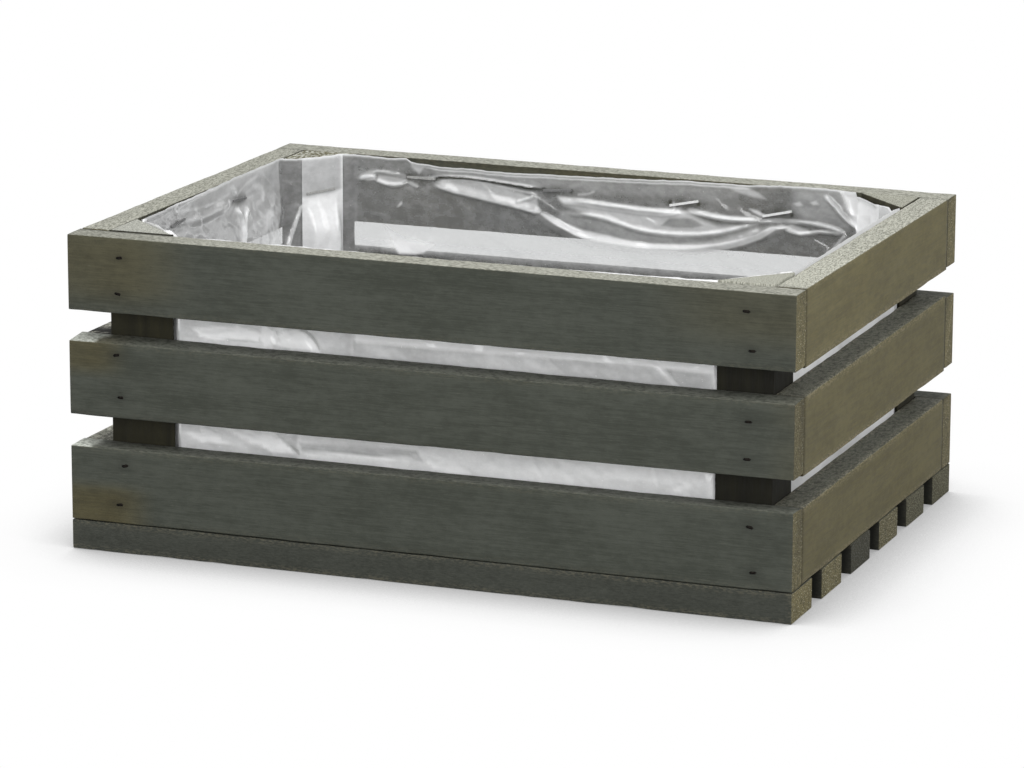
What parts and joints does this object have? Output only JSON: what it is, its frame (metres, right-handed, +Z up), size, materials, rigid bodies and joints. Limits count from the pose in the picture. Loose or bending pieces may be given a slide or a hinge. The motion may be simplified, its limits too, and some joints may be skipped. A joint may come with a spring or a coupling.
{
  "type": "wooden planter box",
  "caption": "Low slatted wooden planter box with triangular corner posts, spaced bottom boards and a clear film liner stapled inside.",
  "frame": {"origin": "on the floor under the middle of the box", "axes": "+X along the box, to the right seen from the front; +Y from the front to the back; +Z up"},
  "size_m": [0.3, 0.217, 0.1277],
  "materials": {
    "stained_wood": "sawn softwood with a thin grey-green stain, brown where it is worn thin",
    "clear_film": "clear crinkled polyethylene film",
    "steel_wire": "bright drawn wire"
  },
  "bodies": {
    "root": {"back_slat_bottom": "stained_wood", "back_slat_middle": "stained_wood", "back_slat_top": "stained_wood", "bottom_board_1": "stained_wood", "bottom_board_2": "stained_wood", "bottom_board_3": "stained_wood", "bottom_board_4": "stained_wood", "bottom_board_5": "stained_wood", "bottom_board_6": "stained_wood", "brad_back_bottom_left_lower": "steel_wire", "brad_back_bottom_left_upper": "steel_wire", "brad_back_bottom_right_lower": "steel_wire", "brad_back_bottom_right_upper": "steel_wire", "brad_back_middle_left_lower": "steel_wire", "brad_back_middle_left_upper": "steel_wire", "brad_back_middle_right_lower": "steel_wire", "brad_back_middle_right_upper": "steel_wire", "brad_back_top_left_lower": "steel_wire", "brad_back_top_left_upper": "steel_wire", "brad_back_top_right_lower": "steel_wire", "brad_back_top_right_upper": "steel_wire", "brad_front_bottom_left_lower": "steel_wire", "brad_front_bottom_left_upper": "steel_wire", "brad_front_bottom_right_lower": "steel_wire", "brad_front_bottom_right_upper": "steel_wire", "brad_front_middle_left_lower": "steel_wire", "brad_front_middle_left_upper": "steel_wire", "brad_front_middle_right_lower": "steel_wire", "brad_front_middle_right_upper": "steel_wire", "brad_front_top_left_lower": "steel_wire", "brad_front_top_left_upper": "steel_wire", "brad_front_top_right_lower": "steel_wire", "brad_front_top_right_upper": "steel_wire", "corner_post_back_left": "stained_wood", "corner_post_back_right": "stained_wood", "corner_post_front_left": "stained_wood", "corner_post_front_right": "stained_wood", "film_liner": "clear_film", "front_slat_bottom": "stained_wood", "front_slat_middle": "stained_wood", "front_slat_top": "stained_wood", "left_slat_bottom": "stained_wood", "left_slat_middle": "stained_wood", "left_slat_top": "stained_wood", "right_slat_bottom": "stained_wood", "right_slat_middle": "stained_wood", "right_slat_top": "stained_wood", "staple_back_1": "steel_wire", "staple_back_2": "steel_wire", "staple_back_3": "steel_wire", "staple_back_4": "steel_wire", "staple_corner_back_left": "steel_wire", "staple_front_1": "steel_wire", "staple_front_2": "steel_wire", "staple_front_3": "steel_wire", "staple_front_4": "steel_wire", "staple_left_1": "steel_wire", "staple_left_2": "steel_wire", "staple_right_1": "steel_wire", "staple_right_2": "steel_wire"}
  },
  "joints": []
}
